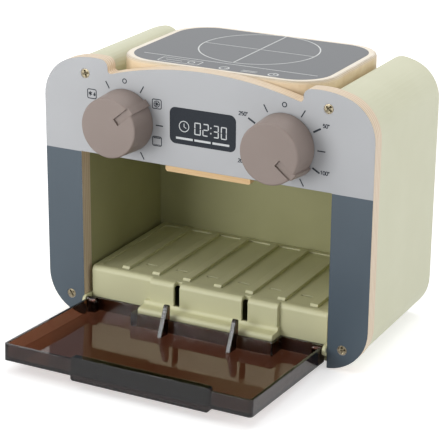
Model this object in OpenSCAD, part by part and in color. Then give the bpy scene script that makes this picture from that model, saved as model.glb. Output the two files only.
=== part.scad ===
/* [Casing] */
// Width over the two side shells
case_w = 280; // [260:1:300]
// Depth from the front panel's face to the rear edge of the shells
case_d = 136; // [128:1:146]
// Thickness of the front panel
front_t = 12; // [9:0.5:15]
// Thickness of the bent plywood shells
shell_t = 6; // [4:0.5:8]
// Distance that the front panel's edge stands out past the shells
shell_in = 2.7; // [2:0.1:3.5]
// Thickness of the flat inner boards
board_t = 5; // [4:0.5:6]
// Outer radius of the bottom corners
bottom_r = 35; // [30:1:38]
// Outer radius of the top corners, up to the lobe
top_r = 33; // [30:1:35]
// Radius of the flatter curve over the lobe
lobe_r = 70; // [60:1:80]
// Angle above level where the corner passes into the lobe
lobe_a = 72; // [68:1:76]
// Height of the corner's centre above the table
corner_z = 182; // [178:1:184]
// Radius of each shell's shoulder, where its lobe drops to the recess
shoulder_r = 13; // [10:1:14]
// Width from the casing's side to the recess of the top deck
lobe_w = 47; // [46.5:0.5:47.5]
// Height of the recess floor, where the shells' top flanges lie
recess_z = 194; // [190:0.5:196]
// Inner corner radius where a shell turns into its top flange
flange_r = 5.5; // [4.5:0.5:6]
// Width of each top flange
flange_w = 24; // [18:1:30]
// Distance that each shell reaches in under the base, from its corner
foot_w = 22; // [16:1:30]

/* [Front panel] */
// Distance of the notches beside the arch from the casing's side
notch_in = 57.4; // [56.5:0.1:58.5]
// Height of the notches above the table
notch_z = 205; // [202:1:207]
// Radius of the panel's lobes beside the notches
notch_top_r = 6.5; // [5:0.5:8]
// Fillet radius in the notches
notch_r = 2.5; // [1.5:0.5:3.5]
// Height of the arch's crown above the table
crown_z = 217.2; // [214:0.2:219]
// Width of each leg beside the oven's opening
leg_w = 32.6; // [31:0.1:35]
// Height of the opening above the table
open_h = 140; // [138:0.5:142]
// Distance of the upper screws from the casing's side
screw_top_in = 37.2; // [35:0.1:40]
// Height of the upper pair of screws
screw_top_z = 203.4; // [200:0.2:206]
// Angle below level at which the lower screws sit in the bottom corners
screw_low_a = 46; // [40:1:52]
// Distance of the lower screws from the shells' inner faces
screw_in = 5; // [4.5:0.5:6]
// Width of the stop strip under the opening's top edge
stop_w = 73; // [60:1:90]
// Distance that the stop strip hangs below the opening's top edge
stop_drop = 6.2; // [5.5:0.1:7]
// Distance of the stop strip's face behind the front panel's face
stop_back = 4.6; // [4.5:0.1:6]
// Distance of the stop strip's middle to the right of the centre
stop_x = 2; // [-6:1:8]
// Rounding of the stop strip's edges
stop_r = 2; // [1:0.5:2.5]

/* [Hob] */
// Half the play of the hob board across its recess
hob_side = 4; // [3:0.5:8]
// Depth of the hob board
hob_d = 131; // [122:0.5:132]
// Thickness of the hob board
hob_t = 18; // [15:0.5:20]
// Corner radius of the hob board
hob_r = 32; // [28:1:36]
// Rounding of the hob board's top edge
hob_edge_r = 2; // [1:0.5:3]
// Distance of the hob board to the right of the centre
hob_x = 2; // [-2:0.5:2.5]
// Gap between the hob board and the front panel
hob_gap = 0.5; // [0.5:0.1:1]
// Thickness of the top deck under the hob board
deck_t = 4; // [3:0.5:5]

/* [Knobs] */
// Distance between the two knobs
knob_gap = 135.2; // [132:0.2:140]
// Height of the knobs above the table
knob_z = 170.7; // [169:0.1:172]
// Diameter of a knob at its base
knob_d = 50; // [44:1:54]
// Diameter of a knob at its face
knob_face_d = 47.4; // [40:0.2:50]
// Height of a knob
knob_h = 25; // [20:1:30]
// Rounding of the knob's face edge
knob_edge_r = 1.4; // [1:0.1:2]
// Running gap between a knob and the front panel
knob_clear = 0.6; // [0.3:0.1:1]
// Width of the pointer
pointer_w = 6; // [4:0.5:8]
// Distance that the pointer's rib stands out of the knob's side
pointer_out = 1.8; // [1:0.1:3]
// Depth of the pointer's groove in the knob's face
pointer_deep = 1.6; // [1:0.1:2.5]
// Distance from the knob's centre to the groove's inner end
pointer_in = 8.7; // [6:0.1:11]
// Angle of the left knob, clockwise from upright
left_turn = 50; // [0:1:359]
// Angle of the right knob, clockwise from upright
right_turn = 129; // [0:1:359]
// Diameter of a knob's spindle
spindle_d = 6; // [5:0.5:8]
// Depth of the spindle's socket in a knob
socket_h = 17; // [12:1:18]
// Radial clearance of a spindle in its bush
spindle_clear = 0.05; // [0.03:0.01:0.08]
// Distance that a spindle stands out of its lock nut
spindle_past = 1; // [0.5:0.5:2]
// Diameter of the bush's flange behind the panel
bush_flange_d = 16; // [14:1:20]
// Thickness of the bush's flange
bush_flange_t = 2; // [1.5:0.5:3]
// Diameter of the bush's barrel in the panel
bush_d = 9; // [8.5:0.5:11]
// Width across the flats of the lock nut
nut_w = 10; // [10:0.5:13]
// Thickness of the lock nut
nut_t = 5; // [4:0.5:6]

/* [Oven floor] */
// Gap between the moulded floor and each side wall
floor_side = 3.4; // [3:0.1:4]
// Height of the floor's top above the table
floor_z = 41.5; // [40:0.5:44]
// Wall thickness of the moulded floor
floor_wall = 2.4; // [2:0.1:3]
// Distance of the side sections' face behind the front panel's face
floor_back = 7.2; // [7:0.1:9]
// Distance of the middle section's face behind the front panel's face
middle_back = 3.7; // [3.2:0.1:5]
// Width of the middle section
middle_w = 112; // [106:1:114]
// Distance of the middle section to the right of the centre
middle_x = 7.5; // [4:0.5:8]
// Width of the lip
lip_w = 118; // [114:1:120]
// Distance of the lip, the slots and the bars to the right of the centre
lip_x = 5.5; // [2:0.5:6]
// Distance that the lip stands in front of the front panel's face
lip_out = 7.5; // [6:0.5:8]
// Height of the lip's top above the table
lip_z = 20; // [18:0.5:20.5]
// Height of the lip's lower edge above the table
lip_low = 4; // [3:0.5:6]
// Rounding of the floor's top front edge
floor_r = 4; // [3:0.5:5]
// Rounding of the lip's top edge
lip_r = 3; // [2.5:0.5:4]
// Distance between the two fin slots
slot_gap = 60; // [50:1:70]
// Width of a fin slot
slot_w = 5.3; // [5:0.1:6]
// Height of the slots' lower end above the table
slot_low = 22.5; // [21:0.5:23]
// Distance that a slot runs back over the top
slot_run = 6; // [4:0.5:8]
// Number of raised rack bars
bar_n = 7; // [5:1:9]
// Distance from one rack bar to the next
bar_pitch = 27.7; // [20:0.1:28]
// Width of a rack bar
bar_w = 6.5; // [4:0.5:8]
// Height of a rack bar above the sunk field
bar_h = 2.2; // [1.5:0.1:3]
// Depth of the sunk field between the rack bars
field_deep = 1; // [0.6:0.1:1.2]
// Rim left round the sunk field
field_rim = 5; // [4:0.5:6]
// Distance of the bars' front ends behind the field's front edge
bar_back = 1; // [0.5:0.5:3]
// Thickness of the flanges beside the moulded floor
ledge_t = 3; // [2.5:0.5:4]
// Length of the short slots between the bars
vent_l = 9; // [5:0.5:10]
// Width of the short slots between the bars
vent_w = 2; // [1.5:0.1:2.5]
// Distance of the short slots behind the field's front edge
vent_back = 19; // [14:0.5:22]
// Diameter of the posts under the floor that take its screws
post_d = 7; // [6:0.5:9]

/* [Door] */
// Gap between the door and each side of the opening
door_side = 3.4; // [3.2:0.1:4]
// Length of the door from its pin to its free edge
door_l = 121; // [118:0.5:122]
// Depth of the door's tray
door_h = 13; // [12:0.5:13]
// Thickness of the door's floor
door_floor = 2.4; // [2:0.1:3]
// Thickness of the door's rim
rim_t = 2.2; // [1.8:0.1:2.6]
// Rounding of the door's corners
door_r = 3; // [2.5:0.5:5]
// Height of the door's rim above its pin
rim_up = 1.9; // [1.5:0.1:2]
// Distance that the door reaches back behind its pin
door_tail = 6; // [5:0.5:6.5]
// Height of the pin above the table
pin_z = 14.4; // [14.2:0.1:15]
// Distance of the pin in front of the front panel's face
pin_out = 0; // [0:0.1:0.5]
// Angle at which the opened door stands up from level
door_tilt = 3; // [0:0.5:5]
// Depth of the notch round the floor's lip, from the pin
notch_l = 10.5; // [10.5:0.1:12]
// Gap between the lip and the notch, at each end
notch_clear = 1.2; // [1:0.1:2]
// Thickness of a fin
fin_t = 3.5; // [2.5:0.1:3.7]
// Length of a fin at its foot
fin_l = 14; // [10:0.5:15]
// Height of a fin above the pin
fin_up = 15; // [13:0.5:16]
// Radius of a fin's tip
fin_r = 2.4; // [2:0.1:3]
// Angle that the fin's rounded tip turns through
fin_a = 165; // [150:1:170]
// Width of the grip
grip_w = 115; // [100:1:130]
// Distance that the grip stands out of the door's free edge
grip_out = 0.7; // [0.5:0.1:1]
// Distance of the grip to the right of the centre
grip_x = 13; // [0:1:16]
// Length of the grip, from the door's free edge
grip_l = 5; // [4:0.5:7]
// Distance that the grip stands above the rim
grip_up = 2.2; // [1.5:0.1:2.4]
// Distance that the grip stands below the door
grip_down = 3.5; // [2.5:0.5:5]
// Rounding of the grip's edges
grip_r = 2; // [1:0.5:2.5]
// Diameter of a hinge pin
pin_d = 3; // [2.5:0.1:3.2]
// Radial clearance of a pin in the door
pin_clear = 0.06; // [0.03:0.01:0.09]
// Length of the door's hinge boss, from its side
boss_l = 8; // [6:0.5:10]
// Length of a hinge pin inside its boss
pin_in = 7.5; // [5:0.5:8]
// Radius of the door's hinge boss
boss_r = 3.2; // [2.8:0.1:3.4]
// Thickness of the floor's hinge cheeks
cheek_t = 2.5; // [2:0.1:2.8]
// Length of a cheek's foot on the floor's flange
cheek_foot = 8; // [6:1:12]
// Radius of a hinge cheek round the pin
cheek_r = 4; // [3.5:0.1:4.5]

/* [Fasteners] */
// Diameter of the screws' countersunk heads
head_d = 7.4; // [6:0.1:8]
// Diameter of the screws' shanks
shank_d = 3.5; // [3:0.1:4]
// Length of the front and rear screws
screw_l = 30; // [25:1:35]
// Clearance of a screw's shank in its hole
screw_clear = 0.2; // [0.1:0.05:0.3]
// Distance of the back board's upper screws from the casing's side
back_screw_in = 32; // [30:0.5:34]
// Height of the back board's upper screws above the table
back_screw_z = 199; // [197:0.5:200]
// Side of the square battens that run along the four corners
batten_w = 18; // [14:1:20]
// Distance between the hob screws across the board
hob_screw_w = 110; // [100:1:114]
// Distance between the hob screws from front to rear
hob_screw_gap = 80; // [60:1:90]
// Length of the screws that hold the hob board
hob_screw_l = 16; // [14:1:18]
// Length of the screws that hold the moulded floor
floor_screw_l = 12; // [10:0.5:14]
// Distance between the floor screws across the floor
floor_screw_w = 140; // [120:2:150]
// Distance between the floor screws from front to rear
floor_screw_gap = 56; // [50:1:60]
// Diameter of the floor screws' shanks
floor_shank_d = 2.5; // [2:0.1:3]
// Diameter of the pan heads of the hob and floor screws
pan_d = 5.4; // [5:0.1:5.8]
// Height of the pan heads
pan_h = 1.8; // [1.4:0.1:2.2]

/* [Fits] */
// Clearance between fixed pieces that are put together by hand
fit = 0.2; // [0.1:0.05:0.3]
// Radial clearance of a pin or spindle pressed into its hole
press = 0.01; // [0.01:0.01:0.05]

/* [Hidden] */
$fn = 48;
cut = 1;
edge_n = 3;
half_w = case_w / 2;
open_w = case_w - 2 * leg_w;
recess_w = case_w - 2 * lobe_w;
notch_w = case_w - 2 * notch_in;
hob_w = recess_w - 2 * hob_side;
tray_low = rim_up - door_h;
front_reach = pin_out + (door_l + grip_out) * cos(door_tilt)
    + (grip_down - tray_low) * sin(door_tilt);
rear_reach = max(case_d, front_t + hob_gap + hob_d);
front_y = (front_reach - rear_reach) / 2;
rear_y = front_y + case_d;
panel_back_y = front_y + front_t;
back_y = rear_y - 2 * board_t;
floor_base_z = shell_t + fit + board_t;
under_board_z = floor_base_z - board_t;
deck_z = recess_z + deck_t;
hob_y0 = panel_back_y + hob_gap;
wall_x = open_w / 2;
ceiling_z = recess_z - shell_t;
pin_y = front_y - pin_out;
tray_floor = tray_low + door_floor;
floor_half = wall_x - floor_side;
door_w = open_w - 2 * door_side;
floor_face_y = front_y + floor_back;
middle_y = front_y + middle_back;
lip_y = front_y - lip_out;
floor_rear_y = back_y - fit;
under_z = floor_z - field_deep - floor_wall;
lip_half = lip_w / 2;
notch_half = lip_half + notch_clear;
ledge_x = wall_x - fit;
ledge_z = floor_base_z + ledge_t;
field_z = floor_z - field_deep;
field_y0 = floor_face_y + floor_r + field_rim / 2;
field_y1 = floor_rear_y - field_rim;
vent_y = field_y0 + vent_back;
low_x = half_w - bottom_r;
low_z = bottom_r - shell_in;
low_r = low_z - shell_t - fit - screw_in;
low_side = max(low_r * cos(screw_low_a), wall_x + board_t + shank_d / 2 + 2 * screw_clear - low_x);
low_drop = sqrt(max(0, low_r * low_r - low_side * low_side));
knob_y = front_y - knob_clear;
nut_y = panel_back_y + bush_flange_t + fit;

// Points of an arc from angle a0 to angle a1
function arc(cx, cz, r, a0, a1, n = 8) =
    [for (i = [0:n]) let (a = a0 + (a1 - a0) * i / n) [cx + r * cos(a), cz + r * sin(a)]];

// The same points on the other side, in reverse order
function mirrored(points) = [for (i = [len(points) - 1:-1:0]) [-points[i][0], points[i][1]]];

// The same points in reverse order
function backward(points) = [for (i = [len(points) - 1:-1:0]) points[i]];

// Points of a rectangle with rounded corners
function round_box(x0, x1, y0, y1, r) = concat(
    arc(x1 - r, y0 + r, r, -90, 0), arc(x1 - r, y1 - r, r, 0, 90),
    arc(x0 + r, y1 - r, r, 90, 180), arc(x0 + r, y0 + r, r, 180, 270)
);

// Line of the right side: round the bottom corner, up the side, round the top corner, over
// the lobe and down its shoulder. The line lies inward of the panel's edge by lip, and then
// under that surface by inset. Its foot stays on the table.
function side_line(lip, inset, shoulder_x, r) =
    let (corner_x = half_w - top_r)
    let (lobe_x = corner_x - (lobe_r - top_r) * cos(lobe_a))
    let (lobe_z = corner_z - (lobe_r - top_r) * sin(lobe_a))
    let (reach = lobe_r - lip - r)
    let (turn_x = shoulder_x + r)
    let (turn_a = acos((turn_x - lobe_x) / reach))
    let (turn_z = lobe_z + reach * sin(turn_a))
    concat(
        arc(half_w - bottom_r, bottom_r - lip, bottom_r - lip - inset, -90, 0, 12),
        arc(corner_x, corner_z, top_r - lip - inset, 0, lobe_a, 10),
        arc(lobe_x, lobe_z, lobe_r - lip - inset, lobe_a, turn_a, 6),
        arc(turn_x, turn_z, r - inset, turn_a, 180, 8)
    );

// The same line for a shell, at a depth under its surface
function shell_line(inset) = side_line(shell_in, inset, recess_w / 2, shoulder_r);

// Line of the recess's corner at a depth under its surface, ending on the flange
function recess_line(inset) =
    arc(recess_w / 2 - flange_r, recess_z + flange_r, flange_r + inset, 0, -90, 6);

// Places of four screws into the corner battens, as [x, z]
function corner_screws(top_in, top_z) = [
    for (side = [-1, 1]) [side * (half_w - top_in), top_z],
    for (side = [-1, 1]) [side * (low_x + low_side), low_z - low_drop]
];
front_places = corner_screws(screw_top_in, screw_top_z);
back_places = corner_screws(back_screw_in, back_screw_z);

// Places of the screws up into the hob board, as [x, y]
hob_screw_places = [
    for (side = [-1, 1], end = [-1, 1])
        [side * hob_screw_w / 2, (panel_back_y + rear_y + end * hob_screw_gap) / 2]
];

// Places of the screws up into the moulded floor's posts, as [x, y]
floor_screw_places = [
    for (side = [-1, 1], end = [-1, 1])
        [side * floor_screw_w / 2, (panel_back_y + back_y + end * floor_screw_gap) / 2]
];

// A profile in the XZ plane given a thickness along Y
module board(y0, y1) {
    translate([0, y1, 0]) rotate([90, 0, 0]) linear_extrude(y1 - y0) children();
}

// A profile in the YZ plane drawn out along X
module run(x0, x1) {
    translate([x0, 0, 0]) rotate([90, 0, 90]) linear_extrude(x1 - x0) children();
}

// A profile in the XY plane given a height
module slab(z0, z1) {
    translate([0, 0, z0]) linear_extrude(z1 - z0) children();
}

// A round bar along Y
module rod(x, z, d, y0, y1) {
    translate([x, y1, z]) rotate([90, 0, 0]) cylinder(d = d, h = y1 - y0);
}

// The outline of the front panel, with its lobes, notches, arch and opening
module panel_outline() {
    rise = crown_z - notch_z;
    arch_r = (notch_w * notch_w / 4 + rise * rise) / (2 * rise);
    fillet_x = notch_w / 2 - notch_r;
    fillet_a = acos(fillet_x / (arch_r + notch_r));
    fillet_z = crown_z - arch_r + (arch_r + notch_r) * sin(fillet_a);
    side = side_line(0, 0, notch_w / 2, notch_top_r);
    leg = [for (p = side) if (p[0] > wall_x || p[1] > bottom_r) p];
    half = concat(
        [[wall_x, leg[0][1]]], leg,
        arc(fillet_x, fillet_z, notch_r, 0, fillet_a - 180, 5)
    );
    polygon(concat(
        half, arc(0, crown_z - arch_r, arch_r, fillet_a, 180 - fillet_a, 24),
        mirrored(half), [[-wall_x, open_h], [wall_x, open_h]]
    ));
}

// The hollow inside the casing, seen from the front
module inside_outline() {
    gap = shell_t + fit;
    half = concat(shell_line(gap), recess_line(gap), [[0, recess_z - gap]]);
    polygon(concat(half, mirrored(half)));
}

// One countersunk screw along +Y with its head's face at the origin
module wood_screw() {
    rotate([-90, 0, 0]) {
        cylinder(d1 = head_d, d2 = shank_d, h = (head_d - shank_d) / 2);
        cylinder(d = shank_d, h = screw_l);
    }
}

// The hole that such a screw needs
module wood_screw_hole() {
    rotate([-90, 0, 0]) {
        translate([0, 0, -cut])
            cylinder(d = head_d + 2 * screw_clear, h = cut + screw_clear);
        translate([0, 0, screw_clear])
            cylinder(d1 = head_d + 2 * screw_clear, d2 = shank_d + 2 * screw_clear,
                h = (head_d - shank_d) / 2);
        cylinder(d = shank_d + 2 * screw_clear, h = screw_l + screw_clear);
    }
}

// One pan-head screw pointing up, with its head under the origin
module pan_screw(d, l) {
    translate([0, 0, -pan_h]) cylinder(d = pan_d, h = pan_h);
    cylinder(d = d, h = l);
}

module front_panel() {
    color("#B9BBBD") difference() {
        board(front_y, panel_back_y) panel_outline();
        for (p = front_places) translate([p[0], front_y, p[1]]) wood_screw_hole();
        for (side = [-1, 1])
            rod(side * knob_gap / 2, knob_z, bush_d + 2 * fit, front_y - cut, panel_back_y + cut);
    }
}

// The right shell: foot, side, lobe, and the flange that carries the top deck
module shell() {
    foot_x = half_w - bottom_r - foot_w;
    flange_x = recess_w / 2 - flange_r - flange_w;
    board(panel_back_y, rear_y) polygon(concat(
        [[foot_x, 0]], shell_line(0), recess_line(0),
        [[flange_x, recess_z], [flange_x, recess_z - shell_t]],
        backward(recess_line(shell_t)), backward(shell_line(shell_t)),
        [[foot_x, shell_t]]
    ));
}

module right_shell() {
    color("#CFD0B6") shell();
}

module left_shell() {
    color("#CFD0B6") mirror([1, 0, 0]) shell();
}

module base_board() {
    color("#C9C9A0") difference() {
        board(panel_back_y + fit, back_y) intersection() {
            inside_outline();
            translate([-wall_x - board_t, 0]) square([open_w + 2 * board_t, floor_base_z]);
        }
        for (p = floor_screw_places) translate([p[0], p[1], 0])
            cylinder(d = floor_shank_d + 2 * screw_clear, h = floor_base_z + cut);
    }
}

module back_board() {
    color("#85835C") difference() {
        board(back_y, back_y + board_t) inside_outline();
        for (p = back_places) translate([p[0], back_y + board_t, p[1]])
            rotate([0, 0, 180]) wood_screw_hole();
    }
}

// The right wall of the oven, flush with the edge of the opening
module side_wall() {
    translate([wall_x, panel_back_y, floor_base_z])
        cube([board_t, back_y - panel_back_y, ceiling_z - floor_base_z]);
}

module right_wall() {
    color("#6B6A45") side_wall();
}

module left_wall() {
    color("#6B6A45") mirror([1, 0, 0]) side_wall();
}

module top_deck() {
    color("#C8C69C") difference() {
        translate([flange_r - recess_w / 2, panel_back_y, recess_z])
            cube([recess_w - 2 * flange_r, case_d - front_t, deck_t]);
        for (p = hob_screw_places) translate([p[0], p[1], recess_z - cut])
            cylinder(d = shank_d + 2 * screw_clear, h = deck_t + 2 * cut);
    }
}

module corner_battens() {
    color("#D3B98F") difference() {
        intersection() {
            board(panel_back_y, back_y) inside_outline();
            for (p = front_places)
                board(panel_back_y, back_y) translate([p[0], p[1]]) square(batten_w, center = true);
        }
        oven_room();
        for (p = front_places) translate([p[0], front_y, p[1]]) wood_screw_hole();
        for (p = back_places) translate([p[0], back_y + board_t, p[1]])
            rotate([0, 0, 180]) wood_screw_hole();
    }
}

// The room that the oven's walls and base take beside the lower battens
module oven_room() {
    translate([-wall_x - board_t, front_y, -cut])
        cube([open_w + 2 * board_t, case_d, ceiling_z + cut]);
}

module door_stop() {
    color("#E0B67C") board(front_y + stop_back, panel_back_y)
        polygon(round_box(stop_x - stop_w / 2, stop_x + stop_w / 2, open_h - stop_drop, open_h, stop_r));
}

// The hob board's outline, drawn in by a margin
module hob_outline(inset) {
    polygon(round_box(hob_x - hob_w / 2 + inset, hob_x + hob_w / 2 - inset,
        hob_y0 + inset, hob_y0 + hob_d - inset, hob_r - inset));
}

module hob_board() {
    color("#E5C593") difference() {
        union() {
            slab(deck_z, deck_z + hob_t - hob_edge_r) hob_outline(0);
            for (i = [0:edge_n - 1]) slab(
                deck_z + hob_t - hob_edge_r * (1 - sin(90 * i / edge_n)),
                deck_z + hob_t - hob_edge_r * (1 - sin(90 * (i + 1) / edge_n))
            ) hob_outline(hob_edge_r * (1 - cos(90 * (i + 1) / edge_n)));
        }
        for (p = hob_screw_places) translate([p[0], p[1], deck_z - cut])
            cylinder(d = shank_d + 2 * screw_clear, h = hob_screw_l - deck_t + 2 * cut);
    }
}

// Outer profile of the moulded floor in the YZ plane, back from a front face
function floor_profile(face) = concat(
    [[floor_rear_y, floor_base_z], [floor_rear_y, floor_z]],
    arc(face + floor_r, floor_z - floor_r, floor_r, 90, 180),
    [[face, lip_low], [face + floor_wall, lip_low], [face + floor_wall, floor_base_z]]
);

// Profile of the lip, with its rounded top and the fillet up to the middle section
function lip_profile() = concat(
    [[floor_face_y + floor_wall, lip_low], [floor_face_y + floor_wall, lip_z + lip_r]],
    arc(middle_y - lip_r, lip_z + lip_r, lip_r, 0, -90, 6),
    arc(lip_y + lip_r, lip_z - lip_r, lip_r, 90, 180, 6),
    [[lip_y, lip_low]]
);

// The moulded floor's walls, before its slots are cut
module floor_body() {
    x0 = middle_x - middle_w / 2;
    x1 = middle_x + middle_w / 2;
    difference() {
        union() {
            run(-floor_half, floor_half) polygon(floor_profile(floor_face_y));
            run(x0, x1) polygon(floor_profile(middle_y));
            run(lip_x - lip_half, lip_x + lip_half) polygon(lip_profile());
        }
        translate([floor_wall - floor_half, floor_face_y + floor_wall, -cut])
            cube([2 * (floor_half - floor_wall), floor_rear_y - floor_face_y - 2 * floor_wall, under_z + cut]);
        translate([x0 + floor_wall, middle_y + floor_wall, -cut])
            cube([middle_w - 2 * floor_wall, floor_back, under_z + cut]);
        translate([x0 + floor_wall, lip_y + floor_wall, -cut])
            cube([middle_w - 2 * floor_wall, lip_out + middle_back + cut, lip_z - floor_wall + cut]);
    }
}

// The right ledge beside the floor, with the cheek that holds the door's pin
module ledge() {
    difference() {
        union() {
            translate([floor_half - floor_wall, panel_back_y + fit, floor_base_z])
                cube([ledge_x - floor_half + floor_wall, floor_rear_y - panel_back_y - fit, ledge_t]);
            run(ledge_x - cheek_t, ledge_x) polygon(concat(
                arc(pin_y, pin_z, cheek_r, 90, 270),
                [[floor_face_y, pin_z - cheek_r], [panel_back_y + fit, floor_base_z],
                [panel_back_y + cheek_foot, floor_base_z], [panel_back_y + cheek_foot, ledge_z],
                [panel_back_y, pin_z + cheek_r]]
            ));
        }
        translate([ledge_x - cheek_t - cut, pin_y, pin_z])
            rotate([0, 90, 0]) cylinder(d = pin_d + 2 * press, h = cheek_t + 2 * cut);
    }
}

// The rack bars that stand on the sunk field, sloped at their front ends
module rack_bars() {
    for (i = [0:bar_n - 1]) {
        x = lip_x + (i - (bar_n - 1) / 2) * bar_pitch;
        run(x - bar_w / 2, x + bar_w / 2) polygon([
            [field_y0 + bar_back, field_z - cut / 2],
            [field_y0 + bar_back + bar_h, field_z + bar_h],
            [field_y1 - bar_h, field_z + bar_h], [field_y1, field_z - cut / 2]
        ]);
    }
}

module oven_floor() {
    color("#C9C9A0") difference() {
        union() {
            difference() {
                floor_body();
                slab(field_z, floor_z + cut) polygon(round_box(
                    field_rim - floor_half, floor_half - field_rim, field_y0, field_y1, floor_r));
                for (i = [1:bar_n - 1]) translate([
                    lip_x + (i - bar_n / 2) * bar_pitch - vent_l / 2, vent_y, under_z - cut
                ]) cube([vent_l, vent_w, floor_wall + 2 * cut]);
            }
            for (p = floor_screw_places) translate([p[0], p[1], floor_base_z])
                cylinder(d = post_d, h = field_z - floor_wall / 2 - floor_base_z);
            rack_bars();
            ledge();
            mirror([1, 0, 0]) ledge();
        }
        for (side = [-1, 1])
            translate([lip_x + side * slot_gap / 2 - slot_w / 2, middle_y - cut, slot_low])
                cube([slot_w, slot_run + cut, floor_z]);
        for (p = floor_screw_places) translate([p[0], p[1], under_board_z])
            cylinder(d = floor_shank_d + 2 * screw_clear, h = floor_screw_l + screw_clear);
    }
}

// What belongs to the door, drawn level with its pin at the origin
module on_door() {
    translate([0, pin_y, pin_z]) rotate([-door_tilt, 0, 0]) children();
}

// The notch in the door's rear edge, grown by a margin
module notch(grow) {
    translate([lip_x - notch_half - grow, -notch_l - grow, tray_low - cut])
        cube([2 * (notch_half + grow), notch_l + grow + door_tail + cut, door_h + 2 * cut]);
}

// One fin: a plate with a sloped front edge and a round tip
module fin(x) {
    foot = tray_floor - door_floor / 2;
    tip_y = -notch_l - fin_r;
    run(x - fin_t / 2, x + fin_t / 2) polygon(concat(
        [[-notch_l, foot], [-notch_l - fin_l, foot]],
        backward(arc(tip_y, fin_up - fin_r, fin_r, 0, fin_a))
    ));
}

// The boss at one end of the door that turns on its pin
module hinge_boss() {
    x0 = door_w / 2 - boss_l;
    run(x0, door_w / 2) polygon(concat(
        [[-boss_r, tray_floor - door_floor / 2], [boss_r, tray_floor - door_floor / 2]],
        arc(0, 0, boss_r, 0, 180)
    ));
}

module door() {
    half = door_w / 2;
    color("#5D5150") on_door() difference() {
        union() {
            difference() {
                slab(tray_low, rim_up) polygon(round_box(-half, half, -door_l, door_tail, door_r));
                difference() {
                    slab(tray_floor, rim_up + cut) polygon(round_box(
                        rim_t - half, half - rim_t, rim_t - door_l, door_tail - rim_t, door_r - rim_t / 2));
                    notch(rim_t);
                }
                notch(0);
            }
            hinge_boss();
            mirror([1, 0, 0]) hinge_boss();
            for (side = [-1, 1]) fin(lip_x + side * slot_gap / 2);
            board(-door_l - grip_out, grip_l - door_l) polygon(round_box(grip_x - grip_w / 2,
                grip_x + grip_w / 2, tray_low - grip_down, rim_up + grip_up, grip_r));
        }
        translate([-half - cut, 0, 0]) rotate([0, 90, 0])
            cylinder(d = pin_d + 2 * pin_clear, h = door_w + 2 * cut);
    }
}

module hinge_pins() {
    inner_x = door_w / 2 - pin_in;
    color("#B8B8B4") for (side = [0, 1]) mirror([side, 0, 0])
        translate([inner_x, pin_y, pin_z]) rotate([0, 90, 0])
            cylinder(d = pin_d, h = ledge_x - inner_x);
}

// A knob with its pointer turned clockwise from upright
module knob(x, turn) {
    rib_top = knob_h - pointer_deep;
    translate([x, knob_y, knob_z]) rotate([90, 0, 0]) rotate([0, 0, -turn]) difference() {
        union() {
            rotate_extrude() polygon(concat(
                [[0, 0], [knob_d / 2, 0]],
                arc(knob_face_d / 2 - knob_edge_r, knob_h - knob_edge_r, knob_edge_r, 0, 90, 5),
                [[0, knob_h]]
            ));
            run(-pointer_w / 2, pointer_w / 2) polygon([
                [pointer_in, 0], [knob_d / 2 + pointer_out, 0],
                [knob_face_d / 2 + pointer_out / 2, rib_top], [pointer_in, rib_top]
            ]);
        }
        translate([-pointer_w / 2, pointer_in, rib_top])
            cube([pointer_w, knob_d, knob_h]);
        translate([0, 0, -cut]) cylinder(d = spindle_d + 2 * press, h = socket_h + cut);
    }
}

module spindle(x) {
    rod(x, knob_z, spindle_d, knob_y - socket_h, nut_y + nut_t + spindle_past);
}

module lock_nut(x) {
    translate([x, nut_y + nut_t, knob_z]) rotate([90, 0, 0]) difference() {
        cylinder(d = nut_w / cos(30), h = nut_t, $fn = 6);
        translate([0, 0, -cut]) cylinder(d = spindle_d + 2 * press, h = nut_t + 2 * cut);
    }
}

module left_knob() {
    color("#9A8A81") knob(-knob_gap / 2, left_turn);
}

module right_knob() {
    color("#9A8A81") knob(knob_gap / 2, right_turn);
}

module left_spindle() {
    color("#B8B8B4") spindle(-knob_gap / 2);
}

module right_spindle() {
    color("#B8B8B4") spindle(knob_gap / 2);
}

module left_lock_nut() {
    color("#B8B8B4") lock_nut(-knob_gap / 2);
}

module right_lock_nut() {
    color("#B8B8B4") lock_nut(knob_gap / 2);
}

module spindle_bushes() {
    color("#E8E6DF") for (side = [-1, 1]) difference() {
        union() {
            rod(side * knob_gap / 2, knob_z, bush_d, front_y, panel_back_y);
            rod(side * knob_gap / 2, knob_z, bush_flange_d, panel_back_y, panel_back_y + bush_flange_t);
        }
        rod(side * knob_gap / 2, knob_z, spindle_d + 2 * spindle_clear,
            front_y - cut, panel_back_y + bush_flange_t + cut);
    }
}

module front_screws() {
    color("#B9A98C") for (p = front_places)
        translate([p[0], front_y + screw_clear, p[1]]) wood_screw();
}

module back_screws() {
    color("#B8B8B4") for (p = back_places)
        translate([p[0], back_y + board_t - screw_clear, p[1]]) rotate([0, 0, 180]) wood_screw();
}

module hob_screws() {
    color("#B8B8B4") for (p = hob_screw_places)
        translate([p[0], p[1], recess_z]) pan_screw(shank_d, hob_screw_l);
}

module floor_screws() {
    color("#B8B8B4") for (p = floor_screw_places)
        translate([p[0], p[1], under_board_z]) pan_screw(floor_shank_d, floor_screw_l);
}

front_panel();
left_shell();
right_shell();
base_board();
back_board();
left_wall();
right_wall();
top_deck();
corner_battens();
door_stop();
hob_board();
oven_floor();
door();
hinge_pins();
left_knob();
left_spindle();
left_lock_nut();
right_knob();
right_spindle();
right_lock_nut();
spindle_bushes();
front_screws();
back_screws();
hob_screws();
floor_screws();
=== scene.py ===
"""A toy oven with its door lowered: finishes, printed marks, light and camera.

Everything is in metres in the part's own frame: +X to the right seen from the front,
+Y to the rear, +Z up. Prints and screws are drawn in millimetres and turned to metres
once, when their mesh is made.
"""
import math

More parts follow.
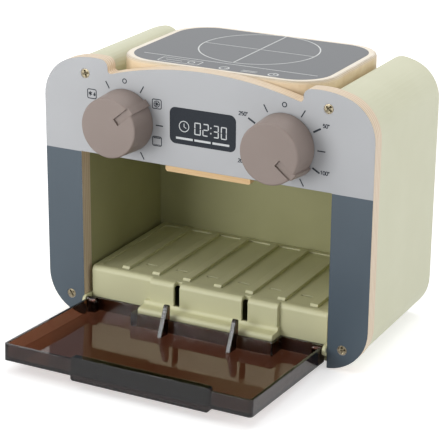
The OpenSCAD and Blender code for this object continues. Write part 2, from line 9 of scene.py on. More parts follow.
import bmesh
import bpy
import numpy as np
from mathutils import Euler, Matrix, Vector


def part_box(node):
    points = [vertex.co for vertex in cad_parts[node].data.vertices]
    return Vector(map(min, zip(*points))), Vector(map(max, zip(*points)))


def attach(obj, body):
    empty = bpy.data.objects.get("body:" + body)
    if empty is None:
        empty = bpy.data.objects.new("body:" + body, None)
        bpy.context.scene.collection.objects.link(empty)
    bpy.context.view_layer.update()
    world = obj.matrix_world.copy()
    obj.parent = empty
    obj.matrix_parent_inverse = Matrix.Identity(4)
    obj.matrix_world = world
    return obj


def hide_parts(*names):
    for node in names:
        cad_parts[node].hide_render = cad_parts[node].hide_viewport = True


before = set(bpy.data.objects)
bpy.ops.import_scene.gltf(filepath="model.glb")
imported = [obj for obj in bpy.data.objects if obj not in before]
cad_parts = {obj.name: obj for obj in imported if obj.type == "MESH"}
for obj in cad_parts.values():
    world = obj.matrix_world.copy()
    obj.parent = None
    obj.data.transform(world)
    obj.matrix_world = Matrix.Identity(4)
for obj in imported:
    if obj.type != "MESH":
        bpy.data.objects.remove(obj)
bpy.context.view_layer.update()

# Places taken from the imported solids, in millimetres
MM = 0.001
FRONT_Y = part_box("front_panel")[0][1] / MM
HOB_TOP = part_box("hob_board")[1][2] / MM
SCREWS_LOW, SCREWS_HIGH = (np.array(corner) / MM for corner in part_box("front_screws"))

PAINT_LINE = 139.7  # height at which the panel's two paints meet
PRINT_LIFT = 0.06  # a screen-printed film stands this far off its board


# Shader nodes


def linear(code):
    """An sRGB hex code as linear red, green, blue and an alpha of 1.

    Each channel c is c / 12.92 up to 0.04045, and ((c + 0.055) / 1.055) ** 2.4 above.
    """
    c = np.array([int(code[i : i + 2], 16) for i in (1, 3, 5)]) / 255
    c = np.where(c <= 0.04045, c / 12.92, ((c + 0.055) / 1.055) ** 2.4)
    return (*c.tolist(), 1.0)


def add(tree, kind, **settings):
    """Add one node and return it.

    A setting with the name of an input, _ for each space, is written to that input; in0,
    in1 and so on count the inputs. A socket is linked, and so is a node, by its first
    output in use. Any other setting is a property of the node, and stands before the rest.
    """
    node = tree.nodes.new("ShaderNode" + kind)
    for key, value in settings.items():
        inputs = {s.name.replace(" ", "_"): s for s in node.inputs if s.enabled}
        if key[:2] == "in" and key[2:].isdigit():
            socket = node.inputs[int(key[2:])]
        elif key in inputs:
            socket = inputs[key]
        else:
            setattr(node, key, value)
            continue
        if isinstance(value, bpy.types.Node):
            value = next(s for s in value.outputs if s.enabled)
        if isinstance(value, bpy.types.NodeSocket):
            tree.links.new(value, socket)
        else:
            socket.default_value = value
    return node


def finish(name, surface, volume=None):
    """A new material; surface(tree) and volume(tree) add its shaders and return them."""
    material = bpy.data.materials.new(name)
    material.use_nodes = True
    tree = material.node_tree
    tree.nodes.clear()
    filling = {"Volume": volume(tree)} if volume else {}
    add(tree, "OutputMaterial", Surface=surface(tree), **filling)
    return material


def relief(tree, height, depth_mm, edge_mm):
    """Normals of a surface with a pattern depth_mm deep, and with its edges rounded by
    edge_mm as sanding or a mould does."""
    edges = add(tree, "Bevel", samples=6, Radius=edge_mm * MM)
    return add(tree, "Bump", Height=height, Distance=depth_mm * MM, Strength=1.0, Normal=edges)


def spots(tree, size_mm, stretch=(1, 1, 1), detail=2.0, roughness=0.5):
    """A pattern from 0 to 1 of soft spots size_mm wide, that many times longer along an
    axis as stretch says."""
    place = add(tree, "TexCoord").outputs["Object"]
    squeezed = add(tree, "Mapping", Vector=place, Scale=tuple(1 / s for s in stretch))
    return add(
        tree, "TexNoise", Vector=squeezed, Scale=1 / (size_mm * MM), Detail=detail,
        Roughness=roughness,
    )


def facing(tree, axis, low, high):
    """1 where the piece's own normal along an axis is past high, 0 where it is short of low."""
    normal = add(tree, "SeparateXYZ", Vector=add(tree, "TexCoord").outputs["Normal"])
    return add(tree, "MapRange", Value=normal.outputs[axis], From_Min=low, From_Max=high)


def two_shades(tree, pattern, first, second, low=0.3, high=0.7):
    """The first colour where a pattern is under low, the second where it is over high."""
    share = add(tree, "MapRange", Value=pattern, From_Min=low, From_Max=high)
    return add(tree, "Mix", data_type="RGBA", Factor=share, A=linear(first), B=linear(second))


def sprayed(tree, first, second):
    """A sprayed or moulded-in colour, which drifts a little over patches 40 mm wide."""
    return two_shades(tree, spots(tree, 40.0), first, second)


def along_axis(axis, length):
    """A stretch of that length along one axis and 1 along the others."""
    return [length if i == axis else 1 for i in range(3)]


# Finishes


def birch_layers(tree, axis, bottom_mm, ply_mm=1.35):
    """Colour of a bare plywood edge: veneers ply_mm thick, stacked along an axis.

    Distance over ply_mm, folded to run from 0 to 1 and back, tells two kinds of veneer
    apart. Every second one shows its end grain and is darker. Streaks 1.2 mm wide and
    14 times as long run along the sheet.
    """
    place = add(tree, "SeparateXYZ", Vector=add(tree, "TexCoord").outputs["Object"])
    count = add(
        tree, "Math", operation="MULTIPLY_ADD", in0=place.outputs[axis], in1=1 / (ply_mm * MM),
        in2=-bottom_mm / ply_mm,
    )
    fold = add(tree, "Math", operation="PINGPONG", in0=count, in1=1.0)
    stretch = [1 if i == axis else 14 for i in range(3)]
    streak = spots(tree, 1.2, stretch, 3.0, 0.6)
    long_grain = two_shades(tree, streak, "#EDDDC7", "#E3D0B7")
    end_grain = two_shades(tree, streak, "#DFC9AD", "#D4BA9A")
    share = add(tree, "MapRange", Value=fold, From_Min=0.42, From_Max=0.58)
    return add(tree, "Mix", data_type="RGBA", Factor=share, A=long_grain, B=end_grain)


def bare_wood(tree, axis, light="#EED3A6", dark="#D9B27C"):
    """Colour of lacquered birch: fibres 0.9 mm wide along an axis, darker in bands 9 mm wide."""
    stretch = along_axis(axis, 22)
    fibre = spots(tree, 0.9, stretch, 4.0, 0.62)
    band = spots(tree, 9.0, stretch)
    share = add(tree, "Math", operation="MULTIPLY_ADD", in0=fibre, in1=0.6, in2=0.2)
    share = add(tree, "Math", operation="MULTIPLY", in0=share, in1=band)
    return two_shades(tree, share, light, dark, 0.1, 0.42)


def painted_panel(tree):
    """Birch plywood, sprayed in two satin colours on its face and bare on its edge.

    Spray lacquer levels to a faint orange peel 1.5 mm wide; the edge shows the veneers.
    """
    place = add(tree, "SeparateXYZ", Vector=add(tree, "TexCoord").outputs["Object"])
    above = add(
        tree, "MapRange", Value=place.outputs["Z"], From_Min=(PAINT_LINE - 0.1) * MM,
        From_Max=(PAINT_LINE + 0.1) * MM,
    )
    upper = sprayed(tree, "#B5B7BA", "#B2B4B7")
    lower = sprayed(tree, "#44525D", "#414F5A")
    face = add(tree, "Mix", data_type="RGBA", Factor=above, A=lower, B=upper)
    edge = birch_layers(tree, 1, FRONT_Y)
    colour = add(
        tree, "Mix", data_type="RGBA", Factor=facing(tree, 1, -0.6, -0.8), A=edge, B=face
    )
    peel = relief(tree, spots(tree, 1.5), 0.012, 0.7)
    return add(tree, "BsdfPrincipled", Base_Color=colour, Roughness=0.42, Normal=peel)


def painted_shell(tree):
    """Bent birch plywood, sprayed satin sage green, bare on the edge at the rear."""
    paint = sprayed(tree, "#DADABF", "#D6D6BA")
    cut = facing(tree, 1, 0.6, 0.8)
    colour = add(tree, "Mix", data_type="RGBA", Factor=cut, A=paint, B=bare_wood(tree, 2))
    peel = relief(tree, spots(tree, 1.6), 0.014, 0.6)
    return add(tree, "BsdfPrincipled", Base_Color=colour, Roughness=0.46, Normal=peel)


def painted_inside(tree):
    """Thin plywood sprayed matte olive; its upright grain still shows as a faint relief."""
    colour = sprayed(tree, "#A8A77B", "#A2A175")
    grain = relief(tree, spots(tree, 0.8, (1, 1, 18), 3.0), 0.02, 0.4)
    return add(tree, "BsdfPrincipled", Base_Color=colour, Roughness=0.6, Normal=grain)


def lacquered_board(tree):
    """Thick birch board under clear satin lacquer, its edge sanded round. Its upward faces take a
    paler copy of the same wood: painted light, standing in for the lamps falling on the top.
    """
    sides = bare_wood(tree, 0, "#F0DDBE", "#E3CAA4")
    # painted light: a paler copy of the wood for the upward faces, where the lamps fall
    painted_light_top = bare_wood(tree, 0, "#FDF4E6", "#F5E8D2")
    top = facing(tree, 2, 0.8, 0.95)
    colour = add(tree, "Mix", data_type="RGBA", Factor=top, A=sides, B=painted_light_top)
    grain = relief(tree, spots(tree, 0.7, (16, 16, 1), 3.0), 0.02, 1.6)
    return add(tree, "BsdfPrincipled", Base_Color=colour, Roughness=0.38, Normal=grain)


def planed_wood(tree, axis):
    """Planed and lacquered birch strip; the plane leaves the fibres' relief along an axis."""
    grain = relief(tree, spots(tree, 0.6, along_axis(axis, 18), 3.0), 0.02, 0.6)
    return add(
        tree, "BsdfPrincipled", Base_Color=bare_wood(tree, axis), Roughness=0.45, Normal=grain
    )


def moulded_floor(tree):
    """Injection-moulded ABS. Its spark-eroded texture, drawn 0.5 mm from grain to grain,
    spreads the highlight."""
    colour = sprayed(tree, "#D3D2AB", "#CFCEA6")
    texture = relief(tree, spots(tree, 0.5), 0.012, 0.7)
    return add(
        tree, "BsdfPrincipled", Base_Color=colour, Roughness=0.44, IOR=1.5, Normal=texture
    )


def smoked_surface(tree):
    """Polished SAN: clear, and a mirror at a low angle. The polish leaves a very slow
    waviness, 12 mm wide."""
    polish = relief(tree, spots(tree, 12.0), 0.02, 0.5)
    return add(
        tree, "BsdfPrincipled", Base_Color=(1, 1, 1, 1), Roughness=0.045, IOR=1.46,
        Transmission_Weight=1.0, Normal=polish,
    )


def brown_smoke(tree):
    """The brown lies in the plastic: a 2.4 mm wall lets a fifth of the red through, and
    the thick grip and the fins look almost black."""
    return add(tree, "VolumeAbsorption", Color=linear("#B9854D"), Density=1400.0)


def satin_knob(tree):
    """Moulded ABS, satin taupe, with a texture too fine to see that dulls the gloss."""
    colour = sprayed(tree, "#8D7F78", "#887A73")
    texture = relief(tree, spots(tree, 0.5), 0.014, 0.35)
    return add(
        tree, "BsdfPrincipled", Base_Color=colour, Roughness=0.5, IOR=1.5, Normal=texture
    )


def plated_steel(tree, code, rough, grain_mm):
    """Steel with a bright plating, whose gloss is uneven from turning and barrel work."""
    speck = spots(tree, grain_mm, detail=3.0)
    gloss = add(
        tree, "MapRange", Value=speck, From_Min=0.3, From_Max=0.7, To_Min=rough - 0.06,
        To_Max=rough + 0.1,
    )
    turned = relief(tree, speck, 0.006, 0.2)
    return add(
        tree, "BsdfPrincipled", Base_Color=linear(code), Metallic=1.0, Roughness=gloss,
        Normal=turned,
    )


def natural_nylon(tree):
    """Moulded nylon without a dye: milky, faintly waxy."""
    return add(
        tree, "BsdfPrincipled", Base_Color=sprayed(tree, "#E9E6DC", "#E2DFD4"), Roughness=0.5,
        Subsurface_Weight=0.2, Subsurface_Scale=0.002,
    )


def screen_ink(tree, code, rough, shine=0.5):
    """Screen-printed ink: a thin film, up to an eighth paler where the mesh let go."""
    deep = linear(code)
    pale = tuple(min(1.0, v * 1.12 + 0.004) for v in deep[:3]) + (1.0,)
    share = add(tree, "MapRange", Value=spots(tree, 0.6, detail=1.0), From_Min=0.35, From_Max=0.75)
    film = add(tree, "Mix", data_type="RGBA", Factor=share, A=deep, B=pale)
    return add(
        tree, "BsdfPrincipled", Base_Color=film, Roughness=rough, Specular_IOR_Level=shine
    )


# Flat print: each shape is a pair of points on a board, in millimetres, and faces


def stroke(points, width, closed=False):
    """A line of even width through points.

    Each point moves half the width to either side, along the mean normal of its two
    segments, lengthened by one over the cosine of half the turn.
    """
    p = np.asarray(points, float)
    ahead = np.roll(p, -1, 0) - p
    back = np.roll(ahead, 1, 0)
    if not closed:
        ahead[-1] = back[-1]
        back[0] = ahead[0]
    unit = [v / np.linalg.norm(v, axis=1, keepdims=True) for v in (back, ahead)]
    normal = [np.stack([-u[:, 1], u[:, 0]], 1) for u in unit]
    mean = normal[0] + normal[1]
    mean /= np.maximum(np.linalg.norm(mean, axis=1, keepdims=True), 1e-9)
    reach = np.clip((mean * normal[1]).sum(1, keepdims=True), 0.5, 1.0)
    side = mean * width / 2 / reach
    n = len(p)
    i = np.arange(n if closed else n - 1)
    j = (i + 1) % n
    return np.concatenate([p + side, p - side]), np.stack([i + n, j + n, j, i], 1)


def area(points):
    """One face inside a convex outline that runs anticlockwise."""
    return np.asarray(points, float), np.arange(len(points))[None, :]


def arc(x, y, r, start, end, n):
    """n + 1 points on a circle's arc, from a start to an end angle in degrees."""
    a = np.radians(np.linspace(start, end, n + 1))
    return np.stack([x + r * np.cos(a), y + r * np.sin(a)], 1)


def ring(x, y, r, width, n):
    """A circular line of n segments."""
    return stroke(arc(x, y, r, 0, 360, n)[:-1], width, True)


def disc(x, y, r, n=12):
    """A filled circle."""
    return area(arc(x, y, r, 0, 360, n)[:-1])


def rounded(x0, x1, y0, y1, r, n):
    """Outline of a rectangle, anticlockwise, with n segments in each rounded corner."""
    corners = (
        (x1 - r, y0 + r, -90),
        (x1 - r, y1 - r, 0),
        (x0 + r, y1 - r, 90),
        (x0 + r, y0 + r, 180),
    )
    return np.concatenate([arc(x, y, r, a, a + 90, n) for x, y, a in corners])


def frame_line(x, y, w, h, width, r=1.2):
    """A rectangular line with rounded corners, centred on x and y."""
    outline = rounded(x - w / 2, x + w / 2, y - h / 2, y + h / 2, r, 4)
    return stroke(outline, width, True)


def tick(x, y, angle, inner, outer, width):
    """A short line outwards from a centre, at an angle clockwise from the top."""
    a = math.radians(angle)
    way = np.array([math.sin(a), math.cos(a)])
    return stroke([way * inner + (x, y), way * outer + (x, y)], width)


def star(x, y, r, angles, width):
    """Lines through a centre at some angles, each reaching r to both sides."""
    return [tick(x, y, a, -r, r, width) for a in angles]


# Figures as lines in a cell 0.6 wide and 1 high, and whether each is closed
FIGURES = {
    "0": (
        [(0, 0.2), (0.15, 0), (0.45, 0), (0.6, 0.2), (0.6, 0.8), (0.45, 1), (0.15, 1), (0, 0.8)],
        True,
    ),
    "1": ([(0.08, 0.78), (0.34, 1), (0.34, 0)], False),
    "2": (
        [(0, 0.8), (0.15, 1), (0.45, 1), (0.6, 0.82), (0.56, 0.6), (0, 0), (0.6, 0)],
        False,
    ),
    "5": (
        [
            (0.56, 1), (0.08, 1), (0.03, 0.56), (0.4, 0.62), (0.6, 0.42), (0.56, 0.14),
            (0.36, 0), (0, 0.06),
        ],
        False,
    ),
}
FIGURE_STEP = 0.82  # from one figure to the next, in heights


def label(text, x, y, height=2.6, width=0.66):
    """A number centred on x and y, with a small ring after it for degrees."""
    length = len(text) * FIGURE_STEP
    start = x - (length + 0.1) * height / 2
    shapes = []
    for i, figure in enumerate(text):
        points, closed = FIGURES[figure]
        cell = np.array(points) + (i * FIGURE_STEP, -0.5)
        shapes.append(stroke(cell * height + (start, y), width, closed))
    degree_x, degree_y = start + (length + 0.12) * height, y + 0.4 * height
    shapes.append(ring(degree_x, degree_y, 0.14 * height, width * 0.8, 12))
    return shapes


def piece(name, points_mm, faces, material):
    """A mesh object at the origin that rides on the casing."""
    mesh = bpy.data.meshes.new(name)
    mesh.from_pydata((np.asarray(points_mm) * MM).tolist(), [], faces)
    mesh.materials.append(material)
    mesh.update()
    made = bpy.data.objects.new(name, mesh)
    bpy.context.scene.collection.objects.link(made)
    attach(made, "casing_body")
    return made


def printed(name, shapes, upright, level, ink):
    """One flat mesh of many shapes, upright at a y or lying at a z, both called level."""
    points, faces, count = [], [], 0
    for verts, ids in shapes:
        points.append(verts)
        faces.extend((ids + count).tolist())
        count += len(verts)
    flat = np.concatenate(points)
    order = (0, 2, 1) if upright else (0, 1, 2)
    spots_mm = np.column_stack([flat, np.full(len(flat), level)])[:, order]
    return piece(name, spots_mm, faces, ink)


# The prints on the front panel, as x and z in millimetres

LEFT_DIAL, RIGHT_DIAL, DIAL_Z = -67.6, 67.6, 170.7
ZERO_UP, ZERO_R = 31.2, 1.7  # the small ring above a dial's centre, and its radius
TICK_IN, THIN_OUT, THICK_OUT = 27.2, 33.6, 34.0  # from a dial's centre
THIN, THICK = 0.95, 1.45
TEMPERATURES = (
    ("50", 101.0, 190.2),
    ("100", 101.0, 154.4),
    ("250", 33.8, 190.4),
    ("200", 33.6, 153.6),
)
SIGN_W, SIGN_H = 7.8, 7.3
FLAKE_SIGN, FAN_SIGN = (-97.0, 187.9), (-39.4, 187.6)
TOP_HEAT_SIGN, BASE_HEAT_SIGN = (-39.3, 158.1), (-97.0, 154.6)


def dial_marks():
    """Thin ticks at 30 degrees off the top and bottom and at the sides, a small ring at
    the top of each dial, thick ticks with a temperature on the right dial, and a square
    sign at the same four places on the left one."""
    shapes = []
    for x in (LEFT_DIAL, RIGHT_DIAL):
        shapes.append(ring(x, DIAL_Z + ZERO_UP, ZERO_R, 0.8, 24))
        for angle in (-150, -90, -30, 30, 90, 150):
            shapes.append(tick(x, DIAL_Z, angle, TICK_IN, THIN_OUT, THIN))
    for angle in (-120, -60, 60, 120):
        shapes.append(tick(RIGHT_DIAL, DIAL_Z, angle, TICK_IN, THICK_OUT, THICK))
    for text, x, z in TEMPERATURES:
        shapes += label(text, x, z)
    for x, z in (FLAKE_SIGN, FAN_SIGN, TOP_HEAT_SIGN, BASE_HEAT_SIGN):
        shapes.append(frame_line(x, z, SIGN_W, SIGN_H, 0.75))
    # hot air: a ring round a fan
    x, z = FAN_SIGN
    shapes.append(ring(x, z, 2.5, 0.55, 20))
    shapes += star(x, z, 2.3, (0, 45, 90, 135), 0.6)
    # heat from above: a thick bar near the square's top edge and a thin one near its foot
    shapes.append(stroke([(-42.4, 160.7), (-36.2, 160.7)], 0.75))
    shapes.append(stroke([(-42.4, 155.3), (-36.2, 155.3)], 0.45))
    # thawing: a flake, and a drop made of a disc and a point
    shapes += star(-98.4, 188.1, 1.8, (0, 60, 120), 0.75)
    shapes.append(disc(-94.7, 187.3, 0.95))
    shapes.append(area([(-95.6, 187.6), (-93.8, 187.6), (-94.7, 189.6)]))
    # heat from below: a bar near the square's foot
    shapes.append(stroke([(-100.0, 152.8), (-94.0, 152.8)], 0.75))
    return shapes


DISPLAY = (-28.2, 28.2, 158.9, 187.6)  # left, right, foot and top
DISPLAY_CORNER = 5.0
FIGURE_BAR = 0.85  # width of a clock figure's bars
# Left, right, foot and top of each clock figure, and its lit bars
CLOCK_FIGURES = (
    (-6.5, -1.8, 168.4, 177.4, "abcdef"),
    (0.4, 4.9, 168.4, 177.4, "abged"),
    (9.2, 13.4, 168.3, 177.3, "abgcd"),
    (16.0, 20.2, 168.1, 177.1, "abcdef"),
)


def seven_segment(x0, x1, z0, z1, lit):
    """A clock figure: the lit ones of seven bars, with rounded outer corners.

    Bars: a top, b upper right, c lower right, d bottom, e lower left, f upper left,
    g middle. Each is a line whose ends stop short of the corner by a gap, and where two
    lit bars meet at an outer corner, a quarter circle of that radius joins them.
    """
    zm, g = (z0 + z1) / 2, 0.55
    ends = {
        "a": [(x0 + g, z1), (x1 - g, z1)],
        "b": [(x1, z1 - g), (x1, zm + g / 2)],
        "c": [(x1, zm - g / 2), (x1, z0 + g)],
        "d": [(x0 + g, z0), (x1 - g, z0)],
        "e": [(x0, zm - g / 2), (x0, z0 + g)],
        "f": [(x0, z1 - g), (x0, zm + g / 2)],
        "g": [(x0 + g, zm), (x1 - g, zm)],
    }
    corners = {
        "ab": (x1 - g, z1 - g, 0),
        "fa": (x0 + g, z1 - g, 90),
        "de": (x0 + g, z0 + g, 180),
        "cd": (x1 - g, z0 + g, 270),
    }
    shapes = [stroke(ends[bar], FIGURE_BAR) for bar in lit]
    for (one, other), (x, z, start) in corners.items():
        if one in lit and other in lit:
            shapes.append(stroke(arc(x, z, g, start, start + 90, 4), FIGURE_BAR))
    return shapes


def display_figures():
    """The clock sign, four figures with a colon, and three bars under them."""
    shapes = [ring(-15.8, 173.2, 4.1, 0.62, 36)]
    shapes.append(stroke([(-15.8, 175.6), (-15.8, 173.0), (-13.9, 171.9)], 0.6))
    for figure in CLOCK_FIGURES:
        shapes += seven_segment(*figure)
    shapes += [disc(7.1, z, 0.62) for z in (171.0, 175.2)]
    for x0, x1 in ((-22.7, -8.3), (-6.9, 7.0), (8.5, 22.8)):
        shapes.append(stroke([(x0, 163.6), (x1, 163.6)], 1.7))
    return shapes


# The print on the hob board, as x and the distance behind the panel's face

HOB_GROUND = (-81.0, 85.0, FRONT_Y + 18.0, FRONT_Y + 137.5)  # left, right, front and rear
HOB_CORNER = 27.0
# Start, end and width of each straight line
HOB_LINES = (
    ((4, 41), (4, 137), 1.1),
    ((-45, 88.5), (51, 88.5), 0.9),
    ((-71, 36.5), (77, 36.5), 1.0),
    ((-46, 26.4), (-32, 26.4), 0.9),
    ((5.7, 23.6), (8.6, 23.6), 0.9),
    ((20.5, 25), (33, 25), 1.0),
    ((20.5, 22), (33, 22), 1.0),
    ((46.5, 24), (46.5, 29), 1.0),
)
# Centre, radius, width and segments of each ring: burner, slide, timer, power
HOB_RINGS = (
    (3, 89.5, 48, 1.1, 96),
    (-24, 26.4, 2.6, 0.9, 16),
    (5.7, 23.6, 3.7, 1.1, 20),
    (46.5, 24, 3.7, 1.1, 20),
)


def hob_marks():
    """The burner's circle and cross, the line of the control strip, and its small signs."""
    shapes = [ring(x, y + FRONT_Y, r, width, n) for x, y, r, width, n in HOB_RINGS]
    shapes.append(frame_line(-33.5, FRONT_Y + 26.4, 34.5, 10.5, 0.85))
    for (x0, y0), (x1, y1), width in HOB_LINES:
        shapes.append(stroke([(x0, y0 + FRONT_Y), (x1, y1 + FRONT_Y)], width))
    return shapes


# Screws with a cross recess

SCREW_HEAD = 7.4
SCREW_SUNK = 0.2  # the heads' faces lie this far under the paint
UPPER_SCREW_X = 102.8
# Radius and depth of a screw's outline from the middle of its face to its point, both in
# half widths of the head
SCREW_OUTLINE = np.array([
    (0, 0), (0.15, 0), (0.3, 0), (0.45, 0), (0.62, 0), (0.8, 0), (0.95, 0.02), (1.0, 0.12),
    (0.47, 0.55), (0.47, 7.6), (0.3, 8.0), (0.0, 8.1),
])
CROSS_ARM, CROSS_REACH, CROSS_DEPTH = 0.17, 0.66, 0.6


def cross_screws(places, y, material):
    """Countersunk screws, at places given as x, z and turn, with their faces at y.

    Each is its outline turned about its own axis. Where the smaller of the distances to
    the cross's two lines is under half an arm's width, the face dips, deepest in the
    middle and level again at nine tenths of the radius.
    """
    r, n = SCREW_HEAD / 2, 48
    rows = len(SCREW_OUTLINE)
    a = 2 * np.pi * np.arange(n) / n
    radius, angle = np.meshgrid(SCREW_OUTLINE[:, 0] * r, a, indexing="ij")
    depth = np.repeat(SCREW_OUTLINE[:, 1:] * r, n, 1)
    u, v = radius * np.cos(angle), radius * np.sin(angle)
    near_line = np.minimum(np.abs(u), np.abs(v)) < CROSS_ARM * r
    in_cross = near_line & (radius < CROSS_REACH * r) & (depth < 0.1 * r)
    depth = depth + np.where(in_cross, CROSS_DEPTH * r * (1 - radius / (0.9 * r)), 0)
    i, j = np.meshgrid(np.arange(rows - 1), np.arange(n), indexing="ij")
    k = (j + 1) % n
    quads = np.stack([(i + 1) * n + j, (i + 1) * n + k, i * n + k, i * n + j], -1).reshape(-1, 4)
    points, faces = [], []
    for count, (x, z, turn) in enumerate(places):
        c, s = math.cos(turn), math.sin(turn)
        screw = np.stack([x + u * c - v * s, y + depth, z + u * s + v * c], -1)
        points.append(screw.reshape(-1, 3))
        faces.append(quads + count * rows * n)
    made = piece(
        "cross_screws", np.concatenate(points), np.concatenate(faces).tolist(), material,
    )
    weld(made)
    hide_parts("front_screws")


def weld(made):
    """Join points that lie together and turn every face outwards."""
    near = 1e-6
    work = bmesh.new()
    work.from_mesh(made.data)
    bmesh.ops.remove_doubles(work, verts=work.verts, dist=near)
    bmesh.ops.dissolve_degenerate(work, edges=work.edges, dist=near)
    bmesh.ops.recalc_face_normals(work, faces=work.faces)
    work.to_mesh(made.data)
    work.free()


# The oven, dressed


def dress(material, *nodes):
    """Give CAD nodes a finish."""
    for name in nodes:
        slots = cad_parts[name].data.materials
        slots.clear()
        slots.append(material)


dress(finish("sprayed_birch_ply_panel", painted_panel), "front_panel")
dress(finish("sprayed_bent_ply", painted_shell), "left_shell", "right_shell", "top_deck")
dress(
    finish("matte_olive_ply", painted_inside),
    "base_board", "back_board", "left_wall", "right_wall",
)
dress(finish("planed_birch_batten", lambda tree: planed_wood(tree, 1)), "corner_battens")
dress(finish("planed_birch_strip", lambda tree: planed_wood(tree, 0)), "door_stop")
dress(finish("clear_lacquered_birch_ply", lacquered_board), "hob_board")
dress(finish("moulded_abs_sage", moulded_floor), "oven_floor")
dress(finish("polished_smoked_san", smoked_surface, brown_smoke), "door")
dress(finish("satin_abs_taupe", satin_knob), "left_knob", "right_knob")
dress(finish("natural_nylon", natural_nylon), "spindle_bushes")
dress(
    finish("zinc_plated_steel", lambda tree: plated_steel(tree, "#C6C7C4", 0.34, 0.8)),
    "hinge_pins", "left_spindle", "left_lock_nut", "right_spindle", "right_lock_nut",
    "back_screws", "hob_screws", "floor_screws",
)

# Colour, roughness and shine of each ink
INKS = {
    "dark_panel_ink": ("#31363E", 0.5, 0.2),
    "pale_display_ink": ("#C6C9CB", 0.45),
    "white_hob_ink": ("#D6D8D8", 0.4),
    "display_ground_ink": ("#262B32", 0.5, 0.15),
    "grey_hob_ink": ("#626569", 0.34, 0.35),
}
ink = {
    name: finish(name, lambda tree, look=look: screen_ink(tree, *look))
    for name, look in INKS.items()
}
on_panel = FRONT_Y - PRINT_LIFT
on_hob = HOB_TOP + PRINT_LIFT
printed("dial_print", dial_marks(), True, on_panel, ink["dark_panel_ink"])
display_ground = area(rounded(*DISPLAY, DISPLAY_CORNER, 6))
printed("display_ground", [display_ground], True, on_panel, ink["display_ground_ink"])
printed("display_figures", display_figures(), True, on_panel - PRINT_LIFT, ink["pale_display_ink"])
hob_ground = area(rounded(*HOB_GROUND, HOB_CORNER, 12))
printed("hob_ground", [hob_ground], False, on_hob, ink["grey_hob_ink"])
printed("hob_lines", hob_marks(), False, on_hob + PRINT_LIFT, ink["white_hob_ink"])

lower_x, lower_z = SCREWS_HIGH[0] - SCREW_HEAD / 2, SCREWS_LOW[2] + SCREW_HEAD / 2
upper_z = SCREWS_HIGH[2] - SCREW_HEAD / 2
screw_places = (
    (-UPPER_SCREW_X, upper_z, 0.3),
    (UPPER_SCREW_X, upper_z, 0.9),
    (-lower_x, lower_z, 0.6),
    (lower_x, lower_z, 0.2),
)
nickel = finish("nickel_plated_screw", lambda tree: plated_steel(tree, "#8E8570", 0.3, 0.6))
cross_screws(screw_places, FRONT_Y + SCREW_SUNK, nickel)


# Studio: floor, room, lamps and camera

FLOOR_HALF = 4.0  # metres
FLOOR_DROP = -0.0005  # keeps the feet's underside clear of the floor


def straight_sight(tree):
    """1 for what the eye sees directly, mirrored or through the door, and 0 for light."""
    path = add(tree, "LightPath")
    seen = path.outputs["Is Camera Ray"]
    for kind in ("Is Glossy Ray", "Is Transmission Ray"):
        seen = add(tree, "Math", operation="MAXIMUM", in0=seen, in1=path.outputs[kind])
    return seen


def pale_floor(tree):
    """White paper to the eye, which keeps the object's shadow.

    It glows half as bright as white near the object, where the lamps do the rest, and
    fully from 1.8 m away, where they don't reach.
    """
    place = add(tree, "TexCoord").outputs["Object"]
    away = add(tree, "VectorMath", operation="LENGTH", in0=place)
    light = add(tree, "MapRange", Value=away, From_Min=0.6, From_Max=1.8, To_Min=0.5, To_Max=1.0)
    seen = add(tree, "Math", operation="MULTIPLY", in0=straight_sight(tree), in1=light)
    paper = add(tree, "BsdfDiffuse", Color=linear("#EDEDED"))
    glow = add(tree, "Emission", Color=(1, 1, 1, 1), Strength=seen)
    return add(tree, "AddShader", in0=paper, in1=glow)


def lay_floor():
    """A plain square floor under the feet."""
    mesh = bpy.data.meshes.new("studio_floor")
    corners = [(-1, -1), (1, -1), (1, 1), (-1, 1)]
    points = [(x * FLOOR_HALF, y * FLOOR_HALF, FLOOR_DROP) for x, y in corners]
    mesh.from_pydata(points, [], [(0, 1, 2, 3)])
    mesh.materials.append(finish("pale_studio_floor", pale_floor))
    floor = bpy.data.objects.new("studio_floor", mesh)
    bpy.context.scene.collection.objects.link(floor)


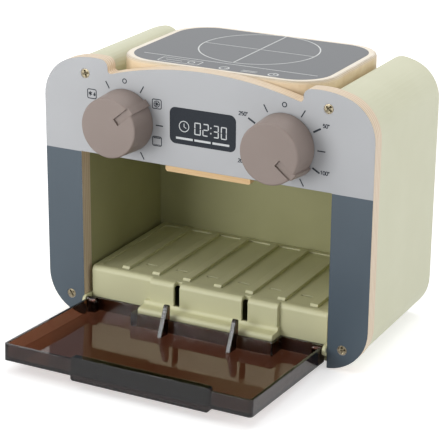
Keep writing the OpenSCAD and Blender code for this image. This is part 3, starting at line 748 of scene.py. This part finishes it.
def light_room():
    """A room that is white to the eye and lights the object with a third of that."""
    world = bpy.data.worlds.new("studio_room")
    bpy.context.scene.world = world
    world.use_nodes = True
    tree = world.node_tree
    tree.nodes.clear()
    white = add(tree, "Background", Color=(1, 1, 1, 1), Strength=1.0)
    room = add(tree, "Background", Color=linear("#F2F3F5"), Strength=0.36)
    both = add(tree, "MixShader", in0=straight_sight(tree), in1=room, in2=white)
    add(tree, "OutputWorld", Surface=both)


# Name, place, aim, side in metres, watts and tint of each square lamp
LAMPS = (
    ("key_softbox", (-1.1, -0.9, 1.5), (0, 0, 0.1), 1.0, 9.5, "#FFFDF8"),
    ("right_fill", (1.7, 0.15, 0.7), (0, 0.05, 0.1), 1.2, 8.5, "#FFFFFF"),
    ("top_sheet", (0.1, 0.5, 1.7), (0, 0.05, 0.1), 1.4, 12, "#FFFFFF"),
    ("front_fill", (-0.75, -1.5, 0.32), (0.05, 0.1, 0.1), 0.8, 13, "#FFFFFF"),
)


def hang_lamps():
    """Square soft lamps, each turned so that it faces its aim."""
    for name, spot, aim, side, power, tint in LAMPS:
        data = bpy.data.lights.new(name, "AREA")
        data.shape = "SQUARE"
        data.size = side
        data.energy = power
        data.color = linear(tint)[:3]
        lamp = bpy.data.objects.new(name, data)
        lamp.location = spot
        lamp.rotation_euler = (Vector(aim) - Vector(spot)).to_track_quat("-Z", "Y").to_euler()
        bpy.context.scene.collection.objects.link(lamp)


def set_camera():
    """The photograph's viewpoint, fitted to points of the front plane, the knobs and the
    door. It stands 1.09 m before the front plane."""
    data = bpy.data.cameras.new("product_camera")
    data.sensor_width = 36.0
    data.lens = 139.441
    data.clip_start = 0.05
    camera = bpy.data.objects.new("product_camera", data)
    camera.location = (0.5757, (FRONT_Y - 1086.8) * MM, 0.5418)
    camera.rotation_euler = Euler([math.radians(a) for a in (70.278, -0.47, 27.44)])
    bpy.context.scene.collection.objects.link(camera)
    bpy.context.scene.camera = camera


lay_floor()
light_room()
hang_lamps()
set_camera()
bpy.context.scene.view_settings.view_transform = "Standard"
